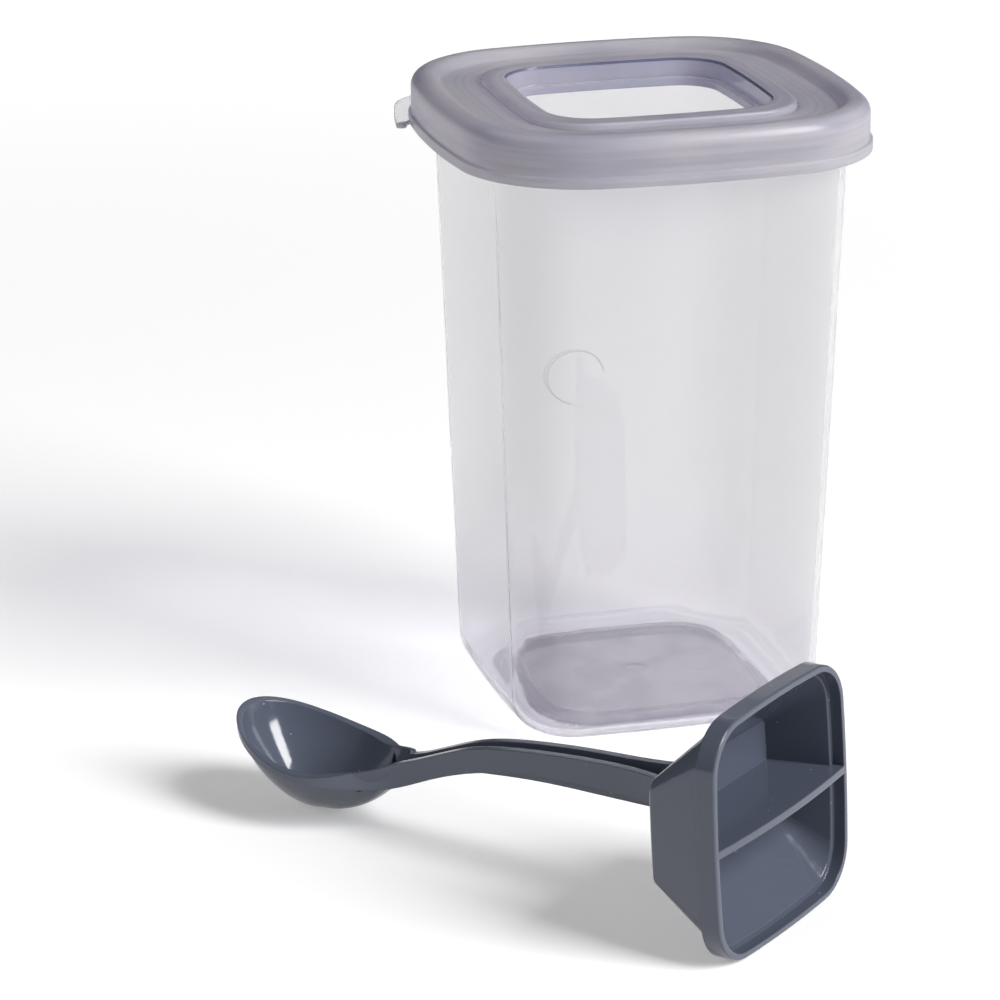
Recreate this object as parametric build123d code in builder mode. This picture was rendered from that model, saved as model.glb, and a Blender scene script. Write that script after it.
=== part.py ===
from build123d import *
from math import atan2, degrees
import os

# A square food storage box of three moulded pieces: a clear jar, a frosted lid with a
# square opening, and a spoon whose handle ends in a hollow stopper for that opening.
# Millimetres, +Z up, origin on the floor under the middle of the jar, front facing -Y.
# Every plan outline is a square with slightly bowed sides and rounded corners. Its half
# is measured from the middle to the middle of a side, its bulge is how far a side bows.

# Jar
JAR_HEIGHT = 120.3
JAR_BASE_HALF = 31.6
JAR_BRIM_HALF = 35.6
JAR_BULGE = 1.45
JAR_BASE_CORNER = 12.8
JAR_BRIM_CORNER = 14.5
JAR_WALL = 1.2
JAR_FOOT_ROUND = 7.0
JAR_CHANNEL_FLOOR = 1.4
FLOOR_PANEL_INSET = 7.2
FLOOR_PANEL_CORNER = 11.4
FLOOR_PANEL_SLOPE = 1.1
FLOOR_PANEL_TOP = 3.6
FLOOR_PANEL_ROUND = 0.6
GATE_DIMPLE_RADIUS = 2.4
GATE_DIMPLE_DEPTH = 0.5
FLANGE_WIDE = 3.6
FLANGE_BULGE = 3.0
FLANGE_CORNER = 21.0
FLANGE_BELOW_BRIM = 1.9
FLANGE_THICK = 1.4
BRIM_ROUND = 0.4

# Lid, its skirt hanging round the jar's flange and its plate lying on the jar's brim
LID_CLEAR = 0.6
LID_BULGE = 3.95
LID_CORNER = 23.6
LID_WALL = 1.3
SKIRT_DEPTH = 6.2
PLATE_THICK = 1.5
CREST_RISE = 2.0
LID_SHOULDER_ROUND = 2.7
LIP_OUT = 0.5
LIP_HIGH = 2.0
LIP_ROUND = 0.2
FIELD_INSET = 3.9
FIELD_SLOPE = 1.8
FIELD_TOP_ROUND = 1.6
FIELD_FOOT_ROUND = 0.8
RING_WIDE = 4.6
RING_BULGE = 1.35
RING_CORNER = 11.7
RING_RISE = 1.2
RING_ROUND = 0.5
RING_GROOVE = 0.5
RING_GROOVE_DEPTH = 0.25
SHOULDER_SPACE_OUTER = 2.2
SHOULDER_SPACE_INNER = 4.6
SHOULDER_SPACE_HIGH = 1.8

# Stopper
STOPPER_HALF = 22.5
STOPPER_BULGE = 0.95
STOPPER_CORNER = 9.0
STOPPER_RIM_DEPTH = 3.7
STOPPER_STEP = 1.4
STOPPER_DEPTH = 15.3
STOPPER_TAPER = 3.2
STOPPER_END_HALF_HIGH = 9.9
STOPPER_END_BULGE = 0.25
STOPPER_END_CORNER = 2.4
STOPPER_END_ROUND = 1.0
STOPPER_WALL = 1.3
STOPPER_FLOOR_CORNER = 1.0
STOPPER_RIM_WALL = 1.15
STOPPER_RIM_ROUND = 0.35
STOPPER_RECESS = 2.3
STOPPER_LEDGE = 1.0
WEB_THICK = 1.4
WEB_BULGE = 1.1
WEB_BURIED = 0.5

# Opening of the lid, cut to take the stopper
STOPPER_CLEAR = 0.15
COLLAR_WALL = 1.3
COLLAR_LEDGE = 1.3
LEDGE_THICK = 1.6

# Pull tab on the back left corner of the lid
TAB_WIDE = 4.0
TAB_BULGE = 6.8
TAB_CORNER = 12.0
TAB_THICK = 0.9
TAB_TIP = 9.0
TAB_ROOT = 18.3
TAB_END_ROUND = 1.0

# Spoon, drawn lying along +X from the mouth of the stopper, bowl open towards +Z
SPOON_LENGTH = 116.6
SPOON_WALL = 1.2
HANDLE_BURIED = 0.3
HANDLE_HALF = 2.5
HANDLE_ROOT_HALF = 8.2
HANDLE_FLARE = 21.0
NECK_LENGTH = 3.0
BOWL_LENGTH = 37.6
BOWL_HALF = 12.5
BOWL_WIDE_SHARE = 0.54
BOWL_TAPER = 0.71
BOWL_BRIM = 1.0
BOWL_BRIM_WALL = 0.6
BOWL_LOW_FROM_TIP = 13.1
BOWL_DROP = 18.2
BOWL_FRONT_CURVE = 1.6
BOWL_SIDE_CURVE = 1.4
BOWL_SIDE_START = 0.3
BOWL_BACK_CURVE = 2.1
BOWL_LEVELS = (0, 0.35, 0.6, 0.78, 0.9, 0.96, 0.99)
RIM_LEDGE = 0.35
KEEL_HALF = 1.9
KEEL_BURIED = 2.0

# Side view of the spoon. Each point is a share of the way from the stopper to the tip of
# the bowl and a height above the middle of the stopper, read off the photo's outline.
TOP_POINTS = [(0, 3.4), (0.2264, 3.5), (0.374, 2.7), (0.4921, 0.8), (0.6102, -3.5),
              (0.6988, -5.9), (0.7874, -6.7), (0.876, -5.0), (1.0138, 1.0)]
BAND_POINTS = [(0, -1.4), (0.1969, -1.8), (0.3445, -1.7), (0.4429, -2.8), (0.5807, -6.9),
               (0.6693, -9.8), (0.748, -9.0), (0.876, -6.4), (1.0138, 0.1)]
KEEL_POINTS = [(0, -3.0), (0.1969, -3.1), (0.3445, -2.9), (0.4429, -3.4), (0.5217, -4.5),
               (0.5807, -6.6), (0.6398, -8.8), (0.7185, -12.0)]

# Sizes that follow from the ones above
FLOOR_PANEL_HALF = JAR_BASE_HALF - FLOOR_PANEL_INSET
FLANGE_HALF = JAR_BRIM_HALF + FLANGE_WIDE
FLANGE_TOP = JAR_HEIGHT - FLANGE_BELOW_BRIM
LID_HALF = FLANGE_HALF + LID_CLEAR + LID_WALL
LID_LOW = JAR_HEIGHT - SKIRT_DEPTH
FIELD_LEVEL = JAR_HEIGHT + PLATE_THICK
LID_CREST = FIELD_LEVEL + CREST_RISE
RING_TOP = FIELD_LEVEL + RING_RISE
RING_HALF = STOPPER_HALF + RING_WIDE
LEDGE_LEVEL = RING_TOP - STOPPER_RIM_DEPTH
STOPPER_END_HALF_WIDE = STOPPER_HALF - STOPPER_TAPER
TAB_HALF = LID_HALF + TAB_WIDE
HANDLE_START = STOPPER_DEPTH - HANDLE_BURIED
HANDLE_FLARE_END = HANDLE_START + HANDLE_FLARE
BOWL_BACK = SPOON_LENGTH - BOWL_LENGTH
NECK_START = BOWL_BACK - NECK_LENGTH
BOWL_LOW_AT = SPOON_LENGTH - BOWL_LOW_FROM_TIP

# A quarter of a full turn, in degrees
QUARTER_TURN = 90

# Larger than any piece of the spoon, for cutters that have to pass right through it
REACH = 30.0

# Half of the slice used to pick edges by their height
PICK_SLICE = 0.01

# Rest place of the spoon on the floor, seen from above
SPOON_REST_X = -11.1
SPOON_REST_Y = -122.1
SPOON_REST_TURN = 130.4
SPOON_REST_ROLL = -1.3


def just_at(height):
    """A thin slice of heights, for picking the edges that lie at one height."""
    return height - PICK_SLICE, height + PICK_SLICE


def bowed_rectangle(half_wide, half_high, bulge, corner):
    """A rectangle with bowed sides and rounded corners."""
    wide, high = half_wide - bulge, half_high - bulge
    corners = [(wide, -high), (wide, high), (-wide, high), (-wide, -high)]
    middles = [(half_wide, 0), (0, half_high), (-half_wide, 0), (0, -half_high)]
    with BuildSketch(Plane.XY, mode=Mode.PRIVATE) as outline:
        with BuildLine():
            for start, middle, end in zip(corners, middles, corners[1:] + corners[:1]):
                ThreePointArc(start, middle, end)
        make_face()
        fillet(vertices(), corner)
    return outline.sketch


def jar_outline(height, inset=0):
    """The jar's outer outline at a height, or one an inset further in."""
    part_way = height / JAR_HEIGHT
    half = JAR_BASE_HALF + (JAR_BRIM_HALF - JAR_BASE_HALF) * part_way - inset
    corner = JAR_BASE_CORNER + (JAR_BRIM_CORNER - JAR_BASE_CORNER) * part_way - inset
    return bowed_rectangle(half, half, JAR_BULGE, corner)


def floor_panel_outline(inset=0):
    """The outline of the raised panel in the jar's floor."""
    half = FLOOR_PANEL_HALF - inset
    return bowed_rectangle(half, half, JAR_BULGE, FLOOR_PANEL_CORNER - inset)


def lid_outline(outset=0):
    """The lid's outer outline, or one an outset further out."""
    half = LID_HALF + outset
    return bowed_rectangle(half, half, LID_BULGE, LID_CORNER + outset)


def ring_outline(outset=0):
    """The outline of the flat ring round the lid's opening."""
    half = RING_HALF + outset
    return bowed_rectangle(half, half, RING_BULGE, RING_CORNER + outset)


def stopper_outline(outset=0):
    """The outline of the stopper's rim, also used for the opening that takes it."""
    half = STOPPER_HALF + outset
    return bowed_rectangle(half, half, STOPPER_BULGE, STOPPER_CORNER + outset)


def bowl_outline(part_down, inset=0):
    """The bowl's outline some part of the way down from its brim to its lowest point."""
    def shrunk(reach, curve, start=0):
        share = max(0, part_down - start) / (1 - start)
        return (reach - inset) * (1 - share**curve) ** (1 / curve)

    tip = BOWL_LOW_AT + shrunk(BOWL_LOW_FROM_TIP, BOWL_FRONT_CURVE)
    back = BOWL_LOW_AT - shrunk(BOWL_LOW_AT - BOWL_BACK, BOWL_BACK_CURVE)
    half = shrunk(BOWL_HALF, BOWL_SIDE_CURVE, BOWL_SIDE_START)
    wide_at = back + BOWL_WIDE_SHARE * (tip - back)
    middle = (wide_at + back) / 2
    with BuildSketch(Plane.XY, mode=Mode.PRIVATE) as outline:
        with BuildLine():
            Spline((wide_at, half), (middle, BOWL_TAPER * half), (back, 0), tangents=((-1, 0), (0, -1)))
            Spline((back, 0), (middle, -BOWL_TAPER * half), (wide_at, -half), tangents=((0, -1), (1, 0)))
            EllipticalCenterArc((wide_at, 0), tip - wide_at, half, start_angle=-QUARTER_TURN,
                                arc_size=2 * QUARTER_TURN)
        make_face()
    return outline.sketch


def spoon_plan(outset=0):
    """The spoon's outline from above, from the stopper's small end to the tip."""
    half = BOWL_HALF + outset
    tip = SPOON_LENGTH + outset
    wide_at = BOWL_BACK + BOWL_WIDE_SHARE * BOWL_LENGTH
    neck = HANDLE_HALF + outset
    root = HANDLE_ROOT_HALF + outset
    with BuildSketch(Plane.XY, mode=Mode.PRIVATE) as outline:
        with BuildLine():
            Line((HANDLE_START, 0), (HANDLE_START, root))
            Spline((HANDLE_START, root), (HANDLE_FLARE_END, neck), tangents=((1, -1), (1, 0)))
            Line((HANDLE_FLARE_END, neck), (NECK_START, neck))
            Spline((NECK_START, neck), (wide_at, half), tangents=((1, 0), (1, 0)))
            EllipticalCenterArc((wide_at, 0), tip - wide_at, half, start_angle=0, arc_size=QUARTER_TURN)
            Line((HANDLE_START, 0), (tip, 0))
        make_face()
        mirror(about=Plane.XZ)
    return outline.sketch


def along_handle(points):
    """The line through points given as shares of the way from the stopper to the tip."""
    return [(HANDLE_START + share * (SPOON_LENGTH - HANDLE_START), height) for share, height in points]


def raised(line, rise):
    """The same line a little higher."""
    return [(along, height + rise) for along, height in line]


def levelled(line, height):
    """A straight line at one height, as long as the given one."""
    return [(line[0][0], height), (line[-1][0], height)]


def side_region(upper, lower):
    """A face seen from the side, between a smooth upper line and a smooth lower line."""
    with BuildSketch(Plane.XZ, mode=Mode.PRIVATE) as region:
        with BuildLine():
            Spline(*upper)
            Line(upper[-1], lower[-1])
            Spline(*lower)
            Line(lower[0], upper[0])
        make_face()
    return region.sketch


# Inside of the jar, a tapered block with a rounded foot
with BuildPart() as jar_space:
    with BuildSketch(Plane.XY.offset(JAR_CHANNEL_FLOOR)):
        add(jar_outline(JAR_CHANNEL_FLOOR, JAR_WALL))
    with BuildSketch(Plane.XY.offset(JAR_HEIGHT)):
        add(jar_outline(JAR_HEIGHT, JAR_WALL))
    loft()
    fillet(edges().group_by(Axis.Z)[0], JAR_FOOT_ROUND - JAR_WALL)

# Jar
with BuildPart() as jar:
    with BuildSketch(Plane.XY):
        add(jar_outline(0))
    with BuildSketch(Plane.XY.offset(JAR_HEIGHT)):
        add(jar_outline(JAR_HEIGHT))
    loft()
    fillet(edges().group_by(Axis.Z)[0], JAR_FOOT_ROUND)
    with BuildSketch(Plane.XY.offset(FLANGE_TOP - FLANGE_THICK)):
        add(bowed_rectangle(FLANGE_HALF, FLANGE_HALF, FLANGE_BULGE, FLANGE_CORNER))
    extrude(amount=FLANGE_THICK)
    add(jar_space.part, mode=Mode.SUBTRACT)
    with BuildSketch(Plane.XY):
        add(floor_panel_outline())
    with BuildSketch(Plane.XY.offset(FLOOR_PANEL_TOP)):
        add(floor_panel_outline(FLOOR_PANEL_SLOPE))
    loft()
    fillet(edges().filter_by_position(Axis.Z, *just_at(FLOOR_PANEL_TOP)), FLOOR_PANEL_ROUND)
    with BuildSketch(Plane.XY):
        add(floor_panel_outline(JAR_WALL))
    with BuildSketch(Plane.XY.offset(FLOOR_PANEL_TOP - JAR_WALL)):
        add(floor_panel_outline(JAR_WALL + FLOOR_PANEL_SLOPE))
    loft(mode=Mode.SUBTRACT)
    with BuildSketch(Plane.XY.offset(FLOOR_PANEL_TOP - JAR_WALL)):
        Circle(GATE_DIMPLE_RADIUS)
    extrude(amount=GATE_DIMPLE_DEPTH, mode=Mode.SUBTRACT)
    fillet(edges().group_by(Axis.Z)[-1], BRIM_ROUND)
jar.part.label = "jar"

# Pocket in the top of the lid, between the ring and the raised shoulder
with BuildPart() as field_space:
    with BuildSketch(Plane.XY.offset(FIELD_LEVEL)):
        add(lid_outline(-FIELD_INSET - FIELD_SLOPE))
    with BuildSketch(Plane.XY.offset(LID_CREST)):
        add(lid_outline(-FIELD_INSET))
    loft()
    fillet(edges().group_by(Axis.Z)[0], FIELD_FOOT_ROUND)

# Lid
with BuildPart() as lid:
    with BuildSketch(Plane.XY.offset(LID_LOW)):
        add(lid_outline())
    extrude(amount=LID_CREST - LID_LOW)
    fillet(edges().group_by(Axis.Z)[-1], LID_SHOULDER_ROUND)
    add(field_space.part, mode=Mode.SUBTRACT)
    fillet(edges().filter_by_position(Axis.Z, *just_at(LID_CREST)), FIELD_TOP_ROUND)
    with BuildSketch(Plane.XY.offset(LID_LOW)):
        add(lid_outline(LIP_OUT))
    extrude(amount=LIP_HIGH)
    fillet(edges().filter_by_position(Axis.Z, *just_at(LID_LOW + LIP_HIGH)), LIP_ROUND)
    with BuildSketch(Plane.XY.offset(LID_LOW)):
        add(lid_outline(-LID_WALL))
    extrude(amount=JAR_HEIGHT - LID_LOW, mode=Mode.SUBTRACT)
    with BuildSketch(Plane.XY.offset(JAR_HEIGHT)):
        add(lid_outline(-SHOULDER_SPACE_OUTER))
        add(lid_outline(-SHOULDER_SPACE_INNER), mode=Mode.SUBTRACT)
    extrude(amount=SHOULDER_SPACE_HIGH, mode=Mode.SUBTRACT)
    with BuildSketch(Plane.XY.offset(FIELD_LEVEL - RING_GROOVE_DEPTH)):
        add(ring_outline(RING_GROOVE))
    extrude(amount=RING_GROOVE_DEPTH, mode=Mode.SUBTRACT)
    with BuildSketch(Plane.XY.offset(FIELD_LEVEL - RING_GROOVE_DEPTH)):
        add(ring_outline())
    extrude(amount=RING_TOP - FIELD_LEVEL + RING_GROOVE_DEPTH)
    with BuildSketch(Plane.XY.offset(LEDGE_LEVEL - LEDGE_THICK)):
        add(stopper_outline(STOPPER_CLEAR + COLLAR_WALL))
    extrude(amount=JAR_HEIGHT + LEDGE_THICK - LEDGE_LEVEL)
    with BuildSketch(Plane.XY.offset(LEDGE_LEVEL - LEDGE_THICK)):
        add(stopper_outline(STOPPER_CLEAR - COLLAR_LEDGE))
    extrude(amount=RING_TOP - LEDGE_LEVEL + LEDGE_THICK, mode=Mode.SUBTRACT)
    with BuildSketch(Plane.XY.offset(LEDGE_LEVEL)):
        add(stopper_outline(STOPPER_CLEAR))
    extrude(amount=STOPPER_RIM_DEPTH, mode=Mode.SUBTRACT)
    fillet(edges().filter_by_position(Axis.Z, *just_at(RING_TOP)), RING_ROUND)
    with BuildSketch(Plane.XY.offset(LID_LOW)):
        add(bowed_rectangle(TAB_HALF, TAB_HALF, TAB_BULGE, TAB_CORNER))
        with BuildLine(mode=Mode.PRIVATE) as tab_span:
            Polyline((-TAB_HALF, TAB_TIP), (-LID_HALF, TAB_ROOT), (-TAB_ROOT, LID_HALF),
                     (-TAB_TIP, TAB_HALF), (-TAB_HALF, TAB_HALF), close=True)
        make_face(tab_span.edges(), mode=Mode.INTERSECT)
        fillet([vertices().sort_by(Axis.Y)[0], vertices().sort_by(Axis.X)[-1]], TAB_END_ROUND)
        add(lid_outline(-LID_WALL), mode=Mode.SUBTRACT)
    extrude(amount=TAB_THICK)
lid.part.label = "lid"

# Inside of the spoon's bowl
with BuildPart() as bowl_space:
    for part_down in BOWL_LEVELS:
        with BuildSketch(Plane.XY.offset(BOWL_BRIM - part_down * (BOWL_BRIM + BOWL_DROP - SPOON_WALL))):
            add(bowl_outline(part_down, BOWL_BRIM_WALL + part_down * (SPOON_WALL - BOWL_BRIM_WALL)))
    loft()

# Lines of the spoon's side view
top_line = along_handle(TOP_POINTS)
band_line = along_handle(BAND_POINTS)
keel_line = along_handle(KEEL_POINTS)
channel_line = raised(keel_line, SPOON_WALL)

# Channel along the top of the handle, open upwards and into the bowl
with BuildPart() as handle_channel:
    with BuildSketch(Plane.XY):
        add(spoon_plan(-SPOON_WALL))
    extrude(amount=REACH, both=True)
    with BuildSketch(Plane.XZ):
        add(side_region(levelled(channel_line, REACH), channel_line))
    extrude(amount=REACH, both=True, mode=Mode.INTERSECT)

# Band that forms the handle's sides and carries on round the bowl as its rim
with BuildPart() as band:
    with BuildSketch(Plane.XY):
        add(spoon_plan(RIM_LEDGE))
    extrude(amount=REACH, both=True)
    with BuildSketch(Plane.XZ):
        add(side_region(top_line, band_line))
    extrude(amount=REACH, both=True, mode=Mode.INTERSECT)

# Hollow of the stopper below its recessed rim
with BuildPart() as stopper_space:
    with BuildSketch(Plane.YZ.offset(STOPPER_RECESS)):
        add(stopper_outline(-STOPPER_RIM_WALL - STOPPER_LEDGE))
    with BuildSketch(Plane.YZ.offset(STOPPER_DEPTH - STOPPER_WALL)):
        add(bowed_rectangle(STOPPER_END_HALF_WIDE - STOPPER_WALL, STOPPER_END_HALF_HIGH - STOPPER_WALL,
                            STOPPER_END_BULGE, STOPPER_FLOOR_CORNER))
    loft()

# Stopper, a tapered cup with a stepped rim, its mouth in the plane x = 0
with BuildPart() as stopper:
    with BuildSketch(Plane.YZ.offset(STOPPER_RIM_DEPTH)):
        add(stopper_outline(-STOPPER_STEP))
    with BuildSketch(Plane.YZ.offset(STOPPER_DEPTH)):
        add(bowed_rectangle(STOPPER_END_HALF_WIDE, STOPPER_END_HALF_HIGH,
                            STOPPER_END_BULGE, STOPPER_END_CORNER))
    loft()
    fillet(edges().group_by(Axis.X)[-1], STOPPER_END_ROUND)
    with BuildSketch(Plane.YZ):
        add(stopper_outline())
    extrude(amount=STOPPER_RIM_DEPTH)
    fillet(edges().group_by(Axis.X)[0], STOPPER_RIM_ROUND)
    with BuildSketch(Plane.YZ):
        add(stopper_outline(-STOPPER_RIM_WALL))
    extrude(amount=STOPPER_RECESS, mode=Mode.SUBTRACT)
    add(stopper_space.part, mode=Mode.SUBTRACT)
    with BuildSketch(Plane.XY):
        with BuildLine():
            mouth_half = STOPPER_HALF - STOPPER_RIM_WALL + WEB_BURIED
            ledge_half = STOPPER_HALF - STOPPER_RIM_WALL - STOPPER_LEDGE + WEB_BURIED
            floor_half = STOPPER_END_HALF_WIDE - STOPPER_WALL + WEB_BURIED
            floor_at = STOPPER_DEPTH - STOPPER_WALL + WEB_BURIED
            ThreePointArc((0, -mouth_half), (-WEB_BULGE, 0), (0, mouth_half))
            Polyline((0, mouth_half), (STOPPER_RECESS, mouth_half), (STOPPER_RECESS, ledge_half),
                     (floor_at, floor_half), (floor_at, -floor_half), (STOPPER_RECESS, -ledge_half),
                     (STOPPER_RECESS, -mouth_half), (0, -mouth_half))
        make_face()
    extrude(amount=WEB_THICK / 2, both=True)

# Spoon
with BuildPart() as drawn_spoon:
    for part_down in BOWL_LEVELS:
        with BuildSketch(Plane.XY.offset(BOWL_BRIM - part_down * (BOWL_BRIM + BOWL_DROP))):
            add(bowl_outline(part_down))
    loft()
    with BuildSketch(Plane.XZ):
        add(side_region(levelled(top_line, REACH), top_line))
    extrude(amount=REACH, both=True, mode=Mode.SUBTRACT)
    add(band.part)
    with BuildSketch(Plane.XZ):
        add(side_region(raised(keel_line, KEEL_BURIED), keel_line))
    extrude(amount=KEEL_HALF, both=True)
    add(bowl_space.part, mode=Mode.SUBTRACT)
    add(handle_channel.part, mode=Mode.SUBTRACT)
    add(stopper.part)

# The spoon at rest, on the back edge of the stopper's rim and the bottom of the bowl
rest_tilt = degrees(atan2(STOPPER_HALF - BOWL_DROP, BOWL_LOW_AT - STOPPER_RIM_DEPTH))
tilted = Rot(0, 0, SPOON_REST_TURN) * Rot(0, rest_tilt, 0) * Rot(SPOON_REST_ROLL, 0, 0) * drawn_spoon.part
spoon = Pos(SPOON_REST_X, SPOON_REST_Y, -tilted.bounding_box().min.Z) * tilted
spoon.label = "spoon"

os.makedirs("parts", exist_ok=True)
export_step(jar.part, "parts/jar.step")
export_step(lid.part, "parts/lid.step")
export_step(spoon, "parts/spoon.step")
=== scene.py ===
# %% [markdown]
# # A food storage box and its stopper spoon
# The object is three moulded plastic pieces: a clear jar, a frosted lid and a dark spoon.
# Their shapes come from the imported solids, so this script gives them their plastics,
# stands them on a pale table and lights them as a studio photo would.

# %% Load the solids
import math

import bpy
from mathutils import Matrix, Vector

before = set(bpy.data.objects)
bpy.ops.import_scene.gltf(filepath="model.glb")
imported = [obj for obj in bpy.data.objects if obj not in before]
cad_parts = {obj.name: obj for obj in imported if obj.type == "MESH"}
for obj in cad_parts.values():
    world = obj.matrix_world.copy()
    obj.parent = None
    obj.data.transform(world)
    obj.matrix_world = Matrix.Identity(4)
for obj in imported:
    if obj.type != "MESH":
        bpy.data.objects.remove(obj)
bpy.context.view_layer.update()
jar, lid, spoon = (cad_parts[name] for name in ("jar", "lid", "spoon"))

# %% [markdown]
# ## Helpers for nodes
# A material is a small network of nodes, and each node takes several lines to add by hand.
# Short functions keep the cells readable: one adds a node and sets its inputs, and the sums,
# ramps and blends that come back most have a function each.

# %% Node helpers
def fill(node, inputs):
    """Sets inputs to values or links: _0 is the first one, and __ in a name stands for a space."""
    for name, value in inputs.items():
        socket = node.inputs[int(name[1:]) if name[0] == "_" else name.replace("__", " ")]
        if isinstance(value, bpy.types.NodeSocket):
            node.id_data.links.new(value, socket)
        else:
            socket.default_value = value


def add_node(tree, kind, settings=None, **inputs):
    """Adds one node, sets its properties and fills its inputs."""
    node = tree.nodes.new(kind)
    for name, value in (settings or {}).items():
        setattr(node, name, value)
    fill(node, inputs)
    return node


def math_node(tree, operation, first, second=0.0, third=0.0):
    """One sum on numbers or links, and its result."""
    node = add_node(tree, "ShaderNodeMath", {"operation": operation},
                    _0=first, _1=second, _2=third)
    return node.outputs[0]


def ramp(tree, value, start, end, low=0.0, high=1.0):
    """A value that goes smoothly from low to high while another goes from start to end."""
    node = add_node(tree, "ShaderNodeMapRange", {"interpolation_type": "SMOOTHSTEP"},
                    _0=value, _1=start, _2=end, _3=low, _4=high)
    return node.outputs[0]


def mix_colours(tree, share, first, second):
    """A blend of two colours."""
    node = add_node(tree, "ShaderNodeMix", {"data_type": "RGBA"}, _0=share, _6=first, _7=second)
    return node.outputs[2]

# %% [markdown]
# ## Helpers for materials
# A network lives in a material, or in a group that several materials share. A material is
# then given to a whole piece, or only to the faces that pass a test.

# %% Material helpers
def new_material(name):
    """An empty material, its network and its output node."""
    material = bpy.data.materials.new(name)
    material.use_nodes = True
    tree = material.node_tree
    tree.nodes.clear()
    return material, tree, tree.nodes.new("ShaderNodeOutputMaterial")


def new_group(name, inputs, outputs):
    """An empty shader node group with named sockets, and its two end nodes."""
    group = bpy.data.node_groups.new(name, "ShaderNodeTree")
    for label, kind, value in inputs:
        socket = group.interface.new_socket(name=label, in_out="INPUT", socket_type=kind)
        if value is not None:
            socket.default_value = value
    for label, kind in outputs:
        group.interface.new_socket(name=label, in_out="OUTPUT", socket_type=kind)
    return group, group.nodes.new("NodeGroupInput"), group.nodes.new("NodeGroupOutput")


def give(piece, material):
    """Puts a material on every face of a piece."""
    piece.data.materials.clear()
    piece.data.materials.append(material)
    print(material.name, "covers", piece.name)


def give_some(piece, material, belongs):
    """Puts a material on the faces that pass a test on the face and its corners."""
    piece.data.materials.append(material)
    slot = len(piece.data.materials) - 1
    corners = piece.data.vertices
    chosen = [face for face in piece.data.polygons
              if belongs(face, [corners[index].co for index in face.vertices])]
    for face in chosen:
        face.material_index = slot
    print(material.name, "covers", len(chosen), "faces of", piece.name)

# %% [markdown]
# ## The skin that moulded plastic has
# No moulded face is perfectly even. The tool's polish leaves slow changes in gloss, and the
# plastic sinks a little as it cools, which bends reflections. Noise at two scales changes the
# gloss, and the slower one alone bends the surface. Every plastic here has this skin, so it
# is one group, and each material sets its own strengths. The gloss inputs are the roughness
# of the dullest and of the shiniest spots.

# %% Moulded skin group
FINE_OVER_SLOW = 14.0
FINE_SHARE = 0.35
GLOSS_NOISE = (0.45, 0.9)
SINK_DEPTH = 0.001
skin, skin_in, skin_out = new_group(
    "moulded_skin",
    [("Scale", "NodeSocketFloat", 60.0), ("Low Gloss", "NodeSocketFloat", 0.3),
     ("High Gloss", "NodeSocketFloat", 0.2), ("Waviness", "NodeSocketFloat", 0.1),
     ("Edge Normal", "NodeSocketVector", None)],
    [("Roughness", "NodeSocketFloat"), ("Normal", "NodeSocketVector")])
place = add_node(skin, "ShaderNodeTexCoord").outputs["Object"]
slow = add_node(skin, "ShaderNodeTexNoise", Vector=place, Scale=skin_in.outputs["Scale"],
                Detail=3.0)
fine_scale = math_node(skin, "MULTIPLY", skin_in.outputs["Scale"], FINE_OVER_SLOW)
fine = add_node(skin, "ShaderNodeTexNoise", Vector=place, Scale=fine_scale, Detail=4.0)
mixed = math_node(skin, "MULTIPLY_ADD", fine.outputs["Fac"], FINE_SHARE, slow.outputs["Fac"])
gloss = add_node(skin, "ShaderNodeMapRange", _0=mixed, _1=GLOSS_NOISE[0], _2=GLOSS_NOISE[1],
                 _3=skin_in.outputs["High Gloss"], _4=skin_in.outputs["Low Gloss"])
sink = add_node(skin, "ShaderNodeBump", Height=slow.outputs["Fac"], Distance=SINK_DEPTH,
                Strength=skin_in.outputs["Waviness"], Normal=skin_in.outputs["Edge Normal"])
skin.links.new(gloss.outputs[0], skin_out.inputs["Roughness"])
skin.links.new(sink.outputs[0], skin_out.inputs["Normal"])
print("skin group has", len(skin.nodes), "nodes")

# %% [markdown]
# ## Dust
# Photographed plastic always carries a few specks of dust. They could be tiny pieces of
# mesh, but nothing of their shape shows, so a mask is enough. Specks are the cores of
# scattered cells, and a slow noise keeps them in loose clusters.

# %% Specks group
CLUSTER_SCALE = 60.0
CLUSTER_FLOOR = 0.5
specks, specks_in, specks_out = new_group(
    "specks", [("Scale", "NodeSocketFloat", 400.0), ("Size", "NodeSocketFloat", 0.05)],
    [("Mask", "NodeSocketFloat")])
place = add_node(specks, "ShaderNodeTexCoord").outputs["Object"]
cells = add_node(specks, "ShaderNodeTexVoronoi", Vector=place,
                 Scale=specks_in.outputs["Scale"], Randomness=1.0)
core = math_node(specks, "LESS_THAN", cells.outputs["Distance"], specks_in.outputs["Size"])
loose = add_node(specks, "ShaderNodeTexNoise", Vector=place, Scale=CLUSTER_SCALE, Detail=1.0)
cluster = math_node(specks, "GREATER_THAN", loose.outputs["Fac"], CLUSTER_FLOOR)
specks.links.new(math_node(specks, "MULTIPLY", core, cluster), specks_out.inputs["Mask"])
print("specks group has", len(specks.nodes), "nodes")

# %% [markdown]
# ## Hairline scuffs
# Wiping and stacking leave short hairlines. They are noise stretched nearly along the height,
# cut off hard so that only its thin peaks stay, and kept to some patches by a slower noise.

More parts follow.
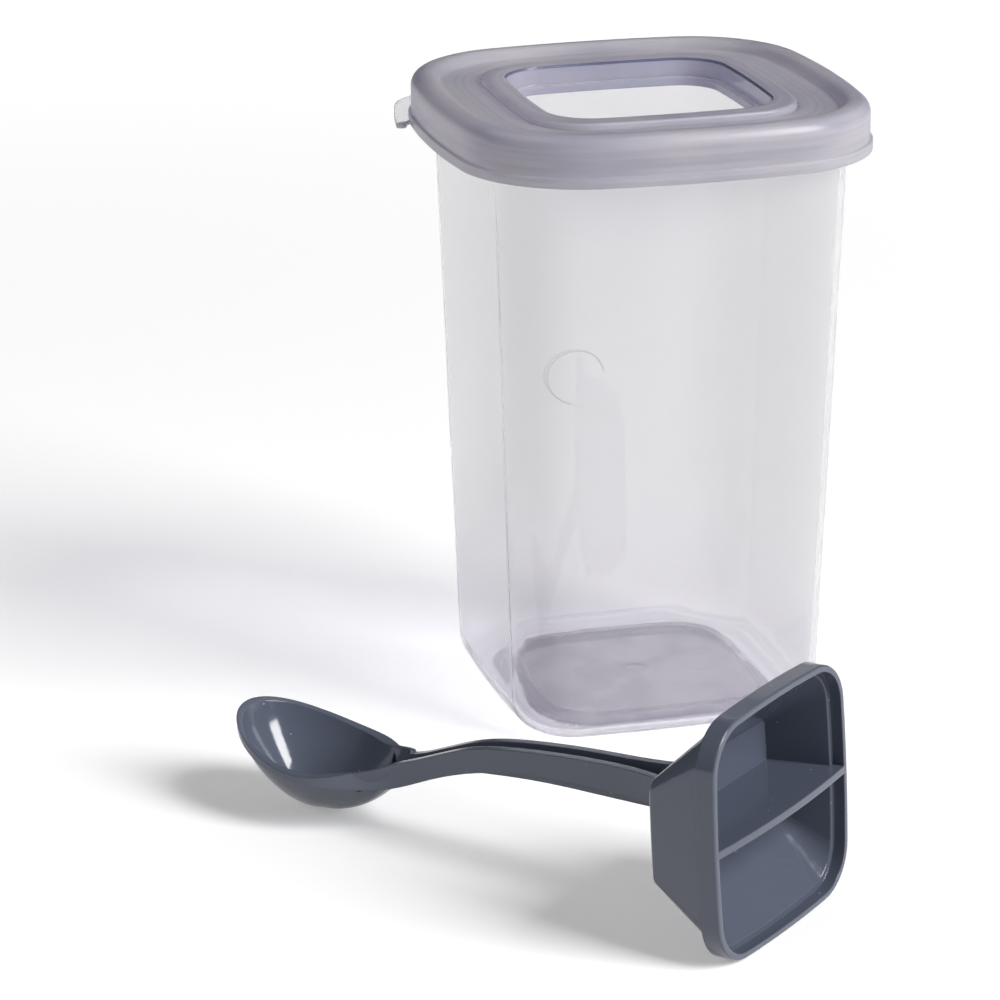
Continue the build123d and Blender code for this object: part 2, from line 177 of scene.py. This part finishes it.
# %% Scuffs group
SCUFF_TURN = (0.35, 0.2, 0.0)
SCUFF_STRETCH = (1.0, 1.0, 0.12)
SCUFF_PEAKS = (0.7, 0.76)
PATCH_SCALE = 45.0
PATCH_NOISE = (0.6, 0.7)
scuffs, scuffs_in, scuffs_out = new_group(
    "scuffs", [("Scale", "NodeSocketFloat", 1000.0), ("Amount", "NodeSocketFloat", 0.5)],
    [("Mask", "NodeSocketFloat")])
place = add_node(scuffs, "ShaderNodeTexCoord").outputs["Object"]
stretched = add_node(scuffs, "ShaderNodeMapping", Vector=place, Rotation=SCUFF_TURN,
                     Scale=SCUFF_STRETCH)
lines = add_node(scuffs, "ShaderNodeTexNoise", Vector=stretched.outputs[0],
                 Scale=scuffs_in.outputs["Scale"], Detail=1.0)
peaks = ramp(scuffs, lines.outputs["Fac"], *SCUFF_PEAKS)
patches = add_node(scuffs, "ShaderNodeTexNoise", Vector=place, Scale=PATCH_SCALE, Detail=2.0)
kept = ramp(scuffs, patches.outputs["Fac"], *PATCH_NOISE)
amount = math_node(scuffs, "MULTIPLY", kept, scuffs_in.outputs["Amount"])
scuffs.links.new(math_node(scuffs, "MULTIPLY", peaks, amount), scuffs_out.inputs["Mask"])
print("scuffs group has", len(scuffs.nodes), "nodes")

# %% [markdown]
# ## Streaks that follow the rim
# In the soft lid, the flow of the plastic shows as faint streaks that run all the way round,
# parallel to the edge. A fourth power of the coordinates gives a distance that grows like
# the lid's rounded square. Noise read along that distance makes the streaks, and a slow
# noise lets them fade in and out.

# %% Rim streaks group
ROUNDED_SQUARE = 4.0
DRIFT_SCALE = 35.0
DRIFT_SHARE = 0.5
STREAK_NOISE = (0.38, 0.62)
streaks, streaks_in, streaks_out = new_group(
    "rim_streaks", [("Scale", "NodeSocketFloat", 500.0)], [("Mask", "NodeSocketFloat")])
place = add_node(streaks, "ShaderNodeTexCoord").outputs["Object"]
parts = add_node(streaks, "ShaderNodeSeparateXYZ", _0=place)
powers = [math_node(streaks, "POWER", math_node(streaks, "ABSOLUTE", parts.outputs[side]),
                    ROUNDED_SQUARE) for side in "XY"]
reach = math_node(streaks, "POWER", math_node(streaks, "ADD", *powers), 1 / ROUNDED_SQUARE)
rim_place = add_node(streaks, "ShaderNodeCombineXYZ", X=reach, Y=0.0, Z=parts.outputs["Z"])
rings = add_node(streaks, "ShaderNodeTexNoise", Vector=rim_place.outputs[0],
                 Scale=streaks_in.outputs["Scale"], Detail=3.0)
ring_part = math_node(streaks, "MULTIPLY", rings.outputs["Fac"], 1 - DRIFT_SHARE)
drift = add_node(streaks, "ShaderNodeTexNoise", Vector=place, Scale=DRIFT_SCALE, Detail=2.0)
both = math_node(streaks, "MULTIPLY_ADD", drift.outputs["Fac"], DRIFT_SHARE, ring_part)
streaks.links.new(ramp(streaks, both, *STREAK_NOISE), streaks_out.inputs["Mask"])
print("rim streaks group has", len(streaks.nodes), "nodes")

# %% [markdown]
# ## The spoon's dark plastic
# A slate plastic with a good gloss. Real moulded edges are never sharp. A bevel in the mesh
# could round them, but the solids stay as they are, so a Bevel node rounds the shading
# there, which gives each rim its bright line.

# %% Dark plastic
SLATE_DEEP = (0.074, 0.086, 0.12, 1)
SLATE_PALE = (0.09, 0.103, 0.14, 1)
DUST_GREY = (0.24, 0.25, 0.29, 1)
dark, tree, out = new_material("dark_plastic")
rounded = add_node(tree, "ShaderNodeBevel", {"samples": 6}, Radius=0.00035)
surface = add_node(tree, "ShaderNodeGroup", {"node_tree": skin}, Scale=45.0, Low__Gloss=0.16,
                   High__Gloss=0.08, Waviness=0.03, Edge__Normal=rounded.outputs[0])
dust = add_node(tree, "ShaderNodeGroup", {"node_tree": specks}, Scale=300.0, Size=0.06)
hairs = add_node(tree, "ShaderNodeGroup", {"node_tree": scuffs}, Scale=1400.0, Amount=0.3)
place = add_node(tree, "ShaderNodeTexCoord").outputs["Object"]
cloud = add_node(tree, "ShaderNodeTexNoise", Vector=place, Scale=25.0, Detail=3.0)
tone = mix_colours(tree, cloud.outputs["Fac"], SLATE_DEEP, SLATE_PALE)
marks = math_node(tree, "MAXIMUM", dust.outputs["Mask"], hairs.outputs["Mask"])
shader = add_node(tree, "ShaderNodeBsdfPrincipled", IOR=1.5,
                  Base__Color=mix_colours(tree, marks, tone, DUST_GREY),
                  Roughness=surface.outputs["Roughness"], Normal=surface.outputs["Normal"])
tree.links.new(shader.outputs[0], out.inputs["Surface"])
give(spoon, dark)

# %% [markdown]
# ## Plastic that light passes through
# The jar and the lid let light through. Lamps would cast a black shadow through such a
# surface, so rays from lamps meet a plain transparent one instead, which leaves the soft
# pale shadow that thin plastic has. A ray that turns too often inside a wall would end
# there as a black line, so it goes straight on instead. The jar, the lid, its collar and its
# tab differ in tint, gloss, how far light soaks in and how it bends, but not in their
# network, so one function makes them all.

# %% See-through plastic
TRAPPED = 7.5
SOAK_COLOURS = (1.0, 0.95, 1.1)
SOAK_DEPTH = 0.01


def see_through_plastic(name, tint_of, passing, transmission, glosses, scale, waviness, edge,
                        soak=0.0, bending=1.45):
    """A plastic whose colour comes from a function, and that lamps shine through."""
    material, tree, out = new_material(name)
    rounded = add_node(tree, "ShaderNodeBevel", {"samples": 4}, Radius=edge)
    surface = add_node(tree, "ShaderNodeGroup", {"node_tree": skin}, Scale=scale,
                       Low__Gloss=glosses[0], High__Gloss=glosses[1], Waviness=waviness,
                       Edge__Normal=rounded.outputs[0])
    shader = add_node(tree, "ShaderNodeBsdfPrincipled", Base__Color=tint_of(tree),
                      Metallic=0.0, IOR=bending, Transmission__Weight=transmission,
                      Roughness=surface.outputs["Roughness"], Normal=surface.outputs["Normal"],
                      Subsurface__Weight=soak, Subsurface__Radius=SOAK_COLOURS,
                      Subsurface__Scale=SOAK_DEPTH)
    clear = add_node(tree, "ShaderNodeBsdfTransparent", Color=passing)
    path = add_node(tree, "ShaderNodeLightPath")
    trapped = math_node(tree, "GREATER_THAN", path.outputs["Ray Depth"], TRAPPED)
    through = math_node(tree, "MAXIMUM", path.outputs["Is Shadow Ray"], trapped)
    both = add_node(tree, "ShaderNodeMixShader", _0=through, _1=shader.outputs[0],
                    _2=clear.outputs[0])
    tree.links.new(both.outputs[0], out.inputs["Surface"])
    return material

# %% [markdown]
# ## The panel in the jar's floor
# The floor's raised panel is the jar's darkest place: clouded and violet, darker partly
# because its plastic is thicker and partly as painted shade of the shadowed table beneath it.
# A dark line of painted shade runs round it, and fainter lines of painted shade lie where the
# foot steps in. The lines are bands around one distance from the panel's edge, and a rounded
# square in plan gives that distance.

# %% Floor tint with painted shade
PANEL_HALF = 0.0244
PANEL_CORNER = 0.0114
PANEL_LEVEL = 0.0045
PANEL_EDGE = 0.0002
PANEL_LINE = (0.0009, 0.0003)
CLOUD_SCALE = 140.0
CLOUD_NOISE = (0.4, 0.6)
# The panel's two tones: partly thicker plastic, partly painted shade of the table beneath.
PANEL_SHADED_DEEP = (0.375, 0.36, 0.425, 1)
PANEL_SHADED_PALE = (0.475, 0.455, 0.515, 1)
# Painted shade for the dark line round the panel's edge.
PANEL_RIM_SHADE = (0.2, 0.185, 0.28, 1)
# The foot's steps get fainter lines of painted shade.
FOOT_STEPS = (0.0032, 0.0055)
STEP_LINE = (0.0007, 0.0002)
STEP_SHADE_STRENGTH = 0.4
STEP_SHADE = (0.4, 0.385, 0.48, 1)


def past_rounded_square(tree, parts, half, corner):
    """How far a point lies outside a rounded square in plan: less than nothing inside it."""
    squares = []
    for side in "XY":
        from_middle = math_node(tree, "ABSOLUTE", parts.outputs[side])
        past_straight = math_node(tree, "SUBTRACT", from_middle, half - corner)
        leg = math_node(tree, "MAXIMUM", 0.0, past_straight)
        squares.append(math_node(tree, "MULTIPLY", leg, leg))
    from_corner = math_node(tree, "SQRT", math_node(tree, "ADD", *squares))
    return math_node(tree, "SUBTRACT", from_corner, corner)


def floor_tint_and_shade(tree, place, parts, walls):
    """The colour of the walls, with the floor's panel and painted shade lines round it and at the
    foot's steps.
    """
    past = past_rounded_square(tree, parts, PANEL_HALF, PANEL_CORNER)
    low = math_node(tree, "LESS_THAN", parts.outputs["Z"], PANEL_LEVEL)
    inside = math_node(tree, "MULTIPLY", ramp(tree, past, PANEL_EDGE, -PANEL_EDGE), low)
    cloud = add_node(tree, "ShaderNodeTexNoise", Vector=place, Scale=CLOUD_SCALE, Detail=3.0)
    clouded = ramp(tree, cloud.outputs["Fac"], *CLOUD_NOISE)
    floor = mix_colours(tree, inside, walls, mix_colours(tree, clouded, PANEL_SHADED_DEEP, PANEL_SHADED_PALE))
    # Lines of painted shade where the foot steps in.
    for step in FOOT_STEPS:
        off_step = math_node(tree, "ABSOLUTE", math_node(tree, "SUBTRACT", past, step))
        shade_band = ramp(tree, off_step, *STEP_LINE, 0.0, STEP_SHADE_STRENGTH)
        floor = mix_colours(tree, math_node(tree, "MULTIPLY", shade_band, low), floor, STEP_SHADE)
    # The dark line of painted shade round the panel.
    shade_band = ramp(tree, math_node(tree, "ABSOLUTE", past), *PANEL_LINE)
    return mix_colours(tree, math_node(tree, "MULTIPLY", shade_band, low), floor, PANEL_RIM_SHADE)

# %% [markdown]
# ## The mark that the mould left
# The front wall shows one fine ring, open toward its lower right. It is again a narrow band
# around one distance, this time from a point. It could be cut into the mesh, but it is
# finer than anything that the eye reads as depth, so a tint does.

# %% Mould mark
MARK_MIDDLE = (-0.022, 0.0, 0.076)
MARK_RADIUS = 0.0053
MARK_LINE = 0.00025
MARK_STRENGTH = 0.42
MARK_OPENING = (0.0034, 0.0056)
MARK_FRONT = -0.02


def mark_mask(tree, parts):
    """The ring on the front wall, open toward its lower right."""
    flat = add_node(tree, "ShaderNodeCombineXYZ", X=parts.outputs["X"], Y=0.0,
                    Z=parts.outputs["Z"])
    apart = add_node(tree, "ShaderNodeVectorMath", {"operation": "DISTANCE"},
                     _0=flat.outputs[0], _1=MARK_MIDDLE).outputs["Value"]
    off_line = math_node(tree, "ABSOLUTE", math_node(tree, "SUBTRACT", apart, MARK_RADIUS))
    on_line = ramp(tree, off_line, MARK_LINE, 0.0, 0.0, MARK_STRENGTH)
    in_front = math_node(tree, "LESS_THAN", parts.outputs["Y"], MARK_FRONT)
    slant = math_node(tree, "SUBTRACT", parts.outputs["X"], parts.outputs["Z"])
    middle_slant = MARK_MIDDLE[0] - MARK_MIDDLE[2]
    closed = ramp(tree, slant, middle_slant + MARK_OPENING[1], middle_slant + MARK_OPENING[0])
    return math_node(tree, "MULTIPLY", math_node(tree, "MULTIPLY", on_line, in_front), closed)

# %% [markdown]
# ## The jar's clear plastic
# Clear polypropylene is a little milky and faintly lilac. Its tint goes darker towards the
# bottom, and the floor's panel and its lines carry painted shade too. Handling left a few
# scuffs. The plastic bends light a little less here than the real one does, because a hard
# dark line would otherwise run down the corner that faces the camera.

# %% Clear plastic
FOOT_TOP = 0.03
FLOOR_LEVEL = 0.002
WALL_TINT = (0.824, 0.819, 0.831, 1)
FOOT_TINT = (0.8, 0.79, 0.824, 1)
SCUFF_TINT = (0.32, 0.31, 0.34, 1)


def clear_tint(tree):
    """The jar's colour: darker low down, with the floor's panel and its painted shade, the mould's
    ring and scuffs.
    """
    place = add_node(tree, "ShaderNodeTexCoord").outputs["Object"]
    parts = add_node(tree, "ShaderNodeSeparateXYZ", _0=place)
    low = ramp(tree, parts.outputs["Z"], FOOT_TOP, FLOOR_LEVEL)
    body = floor_tint_and_shade(tree, place, parts, mix_colours(tree, low, WALL_TINT, FOOT_TINT))
    hairs = add_node(tree, "ShaderNodeGroup", {"node_tree": scuffs}, Scale=900.0, Amount=0.2)
    marks = math_node(tree, "MAXIMUM", mark_mask(tree, parts), hairs.outputs["Mask"])
    return mix_colours(tree, marks, body, SCUFF_TINT)


give(jar, see_through_plastic(
    "clear_plastic", clear_tint, passing=(0.77, 0.765, 0.785, 1), transmission=0.89,
    glosses=(0.06, 0.02), scale=22.0, waviness=0.04, edge=0.0003, bending=1.3))

# %% [markdown]
# ## The lid's frosted plastic
# The lid is softer and frosted: light soaks in, spreads and comes out lilac grey, so its
# shading is gentle. The flow streaks mix a cooler and a warmer grey. The collar and the tab
# have such streaks too, so a function makes the tint of each from a scale and two colours.

# %% Frosted plastic
def streaked(scale, cool, warm):
    """A function that gives a material a tint in streaks that follow the rim."""
    def tint(tree):
        bands = add_node(tree, "ShaderNodeGroup", {"node_tree": streaks}, Scale=scale)
        return mix_colours(tree, bands.outputs["Mask"], cool, warm)
    return tint


frosted_tint = streaked(700.0, cool=(0.365, 0.357, 0.42, 1), warm=(0.49, 0.473, 0.512, 1))
give(lid, see_through_plastic(
    "frosted_plastic", frosted_tint, passing=(0.6, 0.59, 0.64, 1), transmission=0.35,
    glosses=(0.42, 0.28), scale=30.0, waviness=0.08, edge=0.0004, soak=0.7))

# %% [markdown]
# ## The collar
# The collar that the stopper sits in is polished in the mould, so it is glossier. Its tint
# is a little bluer than the lid's, and its rounded brim carries a dark line of painted
# shade. It is part of the lid's solid, so its faces are told apart by where they lie and
# which way they look.

# %% Collar
COLLAR_REACH = 0.026
COLLAR_BRIM = 0.1223
INWARD_SHARE = 0.3
COLLAR_STREAKS = 300.0


def faces_inward(face):
    """Whether a face near the opening looks toward the lid's middle."""
    middle, normal = face.center, face.normal
    near = abs(middle.x) < COLLAR_REACH and abs(middle.y) < COLLAR_REACH
    return near and normal.x * middle.x + normal.y * middle.y < -INWARD_SHARE * COLLAR_REACH


collar_tint = streaked(COLLAR_STREAKS, cool=(0.36, 0.365, 0.47, 1), warm=(0.44, 0.435, 0.52, 1))
# The brim's dark tint is painted shade on the collar's rounded edge.
brim_shade_tint = streaked(COLLAR_STREAKS, cool=(0.1, 0.11, 0.2, 1), warm=(0.2, 0.2, 0.31, 1))
collar_plastic = see_through_plastic(
    "collar_plastic", collar_tint, passing=(0.6, 0.6, 0.66, 1), transmission=0.4,
    glosses=(0.16, 0.08), scale=30.0, waviness=0.04, edge=0.0003, soak=0.5)
# A material that carries the brim's painted shade.
collar_brim_shade = see_through_plastic(
    "collar_brim_shade", brim_shade_tint, passing=(0.5, 0.5, 0.6, 1), transmission=0.4,
    glosses=(0.16, 0.08), scale=30.0, waviness=0.04, edge=0.0003)
give_some(lid, collar_plastic,
          lambda face, corners: faces_inward(face) and face.center.z <= COLLAR_BRIM)
give_some(lid, collar_brim_shade,
          lambda face, corners: faces_inward(face) and face.center.z > COLLAR_BRIM)

# %% [markdown]
# ## The pull tab
# The tab is a thin sheet, so it is the lid's clearest place. Its flat sides are long thin
# triangles that start in the skirt, so a face of the tab is known by its farthest corner,
# because its middle can lie well inside the skirt.

# %% Tab
TAB_TOP = 0.11505
CORNER_MIDDLE = (-0.0175, 0.0175)
CORNER_REACH = 0.0238


def on_tab(face, corners):
    """Whether a face reaches the thin sheet that sticks out below one corner of the skirt."""
    reach = max(math.dist((corner.x, corner.y), CORNER_MIDDLE) for corner in corners)
    behind = face.center.x < CORNER_MIDDLE[0] and face.center.y > CORNER_MIDDLE[1]
    return reach > CORNER_REACH and behind and face.center.z < TAB_TOP


tab_tint = streaked(COLLAR_STREAKS, cool=(0.9, 0.89, 0.91, 1), warm=(0.96, 0.955, 0.965, 1))
give_some(lid, see_through_plastic(
    "tab_plastic", tab_tint, passing=(0.85, 0.85, 0.88, 1), transmission=0.97,
    glosses=(0.12, 0.06), scale=30.0, waviness=0.04, edge=0.0003, bending=1.2), on_tab)

# %% [markdown]
# ## Rays that look at the background
# The photo's background is pure white, but the objects on it aren't over-lit. So the table
# and the world look white only to the camera, straight or through the clear jar, and light
# the scene at a plain level. The depth of diffuse bounces tells those rays from the rest:
# light that the table gathers through the jar has bounced off the table first. A ray that
# mirrors inside the jar's wall counts as seen through the jar too. Depths are whole
# numbers, so half a bounce lies between none and some.

# %% Rays that look at the background
HALF_BOUNCE = 0.5


def rays_to_camera(tree, path):
    """1 for a ray that reaches the camera directly or through clear plastic, else 0."""
    seen = math_node(tree, "MAXIMUM", path["Is Camera Ray"], path["Is Transmission Ray"])
    within = math_node(tree, "GREATER_THAN", path["Transmission Depth"], HALF_BOUNCE)
    mirrored_within = math_node(tree, "MULTIPLY", within, path["Is Glossy Ray"])
    seen = math_node(tree, "MAXIMUM", seen, mirrored_within)
    direct = math_node(tree, "LESS_THAN", path["Diffuse Depth"], HALF_BOUNCE)
    return math_node(tree, "MULTIPLY", seen, direct)

# %% [markdown]
# ## The white table
# The table is one large plane that glows toward those rays on top of its own light grey, so
# it still shows the objects' shadows. Away from the objects it glows more, which hides where
# the lamps' light runs out. Reflections see the glow that it has near the objects.

# %% Table
TABLE_SIZE = 12.0
TABLE_GREY = (0.8, 0.8, 0.8, 1)
TABLE_GLOW = 0.28
FAR_GLOW = 1.0
NEAR_TABLE = 0.25
FAR_TABLE = 1.5
bpy.ops.mesh.primitive_plane_add(size=TABLE_SIZE, location=(0, 0, 0))
table = bpy.context.object
table.name = "table"
white, tree, out = new_material("white_table")
plain = add_node(tree, "ShaderNodeBsdfDiffuse", Color=TABLE_GREY)
path = add_node(tree, "ShaderNodeLightPath").outputs
place = add_node(tree, "ShaderNodeTexCoord").outputs["Object"]
away = add_node(tree, "ShaderNodeVectorMath", {"operation": "LENGTH"}, _0=place).outputs["Value"]
growing = ramp(tree, away, NEAR_TABLE, FAR_TABLE, TABLE_GLOW, FAR_GLOW)
behind = math_node(tree, "MULTIPLY", rays_to_camera(tree, path), growing)
mirrored = math_node(tree, "MULTIPLY", path["Is Glossy Ray"], TABLE_GLOW)
glow = add_node(tree, "ShaderNodeEmission", Color=(1, 1, 1, 1),
                Strength=math_node(tree, "MAXIMUM", behind, mirrored))
total = add_node(tree, "ShaderNodeAddShader", _0=plain.outputs[0], _1=glow.outputs[0])
tree.links.new(total.outputs[0], out.inputs["Surface"])
give(table, white)

# %% [markdown]
# ## The studio around it
# The world is the rest of the background: white to the same rays, and to all others a faint
# even light that keeps the shadows from going black.

# %% World
WORLD_LIGHT = 0.08
world = bpy.data.worlds.new("studio")
bpy.context.scene.world = world
world.use_nodes = True
tree = world.node_tree
tree.nodes.clear()
out = tree.nodes.new("ShaderNodeOutputWorld")
seen = rays_to_camera(tree, add_node(tree, "ShaderNodeLightPath").outputs)
strength = add_node(tree, "ShaderNodeMapRange", _0=seen, _1=0.0, _2=1.0, _3=WORLD_LIGHT, _4=1.0)
sky = add_node(tree, "ShaderNodeBackground", Color=(1, 1, 1, 1), Strength=strength.outputs[0])
tree.links.new(sky.outputs[0], out.inputs["Surface"])
print("world lights the scene at", WORLD_LIGHT, "and its network has", len(tree.nodes), "nodes")

# %% [markdown]
# ## The lamps
# The bright streak in the spoon's bowl shows the main lamp: a tall softbox at the right
# front. Its shape also explains the shadows, which are softer along their length than at
# their sides. A weak second lamp opens up the left side. Neither shows through the plastic.

# %% Lamps
SCENE_MIDDLE = Vector((-0.02, -0.06, 0.03))


def around(azimuth, elevation, distance):
    """A place seen from the middle of the objects at an azimuth and an elevation."""
    flat = distance * math.cos(math.radians(elevation))
    return SCENE_MIDDLE + Vector((flat * math.cos(math.radians(azimuth)),
                                  flat * math.sin(math.radians(azimuth)),
                                  distance * math.sin(math.radians(elevation))))


def add_softbox(name, azimuth, elevation, distance, wide, high, power, mirrored):
    """A rectangular lamp that faces the objects and that only reflections can show, if asked."""
    lamp = bpy.data.lights.new(name, "AREA")
    lamp.shape = "RECTANGLE"
    lamp.size = wide
    lamp.size_y = high
    lamp.energy = power
    holder = bpy.data.objects.new(name, lamp)
    bpy.context.scene.collection.objects.link(holder)
    holder.visible_camera = False
    holder.visible_glossy = mirrored
    holder.visible_transmission = False
    holder.location = around(azimuth, elevation, distance)
    holder.rotation_euler = (SCENE_MIDDLE - holder.location).to_track_quat("-Z", "Y").to_euler()
    print(name, "stands at", [round(v, 2) for v in holder.location], "m and gives", power, "W")


add_softbox("tall_key", azimuth=-45, elevation=36, distance=4.0, wide=1.5, high=2.5,
            power=226, mirrored=True)
add_softbox("left_fill", azimuth=-165, elevation=25, distance=4.0, wide=4.0, high=3.0,
            power=47, mirrored=False)

# %% [markdown]
# ## The camera
# Its place and lens were fitted to the photo, so that the edges fall where the photo shows
# them. It turns about its own line of sight first, then down and then about the upright.

# %% Camera
CAMERA_YAW = 15.374
CAMERA_PITCH = 18.772
CAMERA_ROLL = -0.347
CAMERA_PLACE = (-0.23276, -0.74472, 0.30402)
CAMERA_LENS = 148.63
CAMERA_SENSOR = 36
CAMERA_NEAR = 0.01
camera = bpy.data.objects.new("camera", bpy.data.cameras.new("camera"))
bpy.context.scene.collection.objects.link(camera)
camera.data.sensor_width = CAMERA_SENSOR
camera.data.lens = CAMERA_LENS
camera.data.clip_start = CAMERA_NEAR
camera.matrix_world = (Matrix.Translation(CAMERA_PLACE)
                       @ Matrix.Rotation(math.radians(-CAMERA_YAW), 4, "Z")
                       @ Matrix.Rotation(math.radians(90 - CAMERA_PITCH), 4, "X")
                       @ Matrix.Rotation(math.radians(CAMERA_ROLL), 4, "Z"))
bpy.context.scene.camera = camera
bpy.context.scene.view_settings.view_transform = "Standard"
print("camera stands", round(Vector(CAMERA_PLACE).length, 3), "m from the jar's foot")
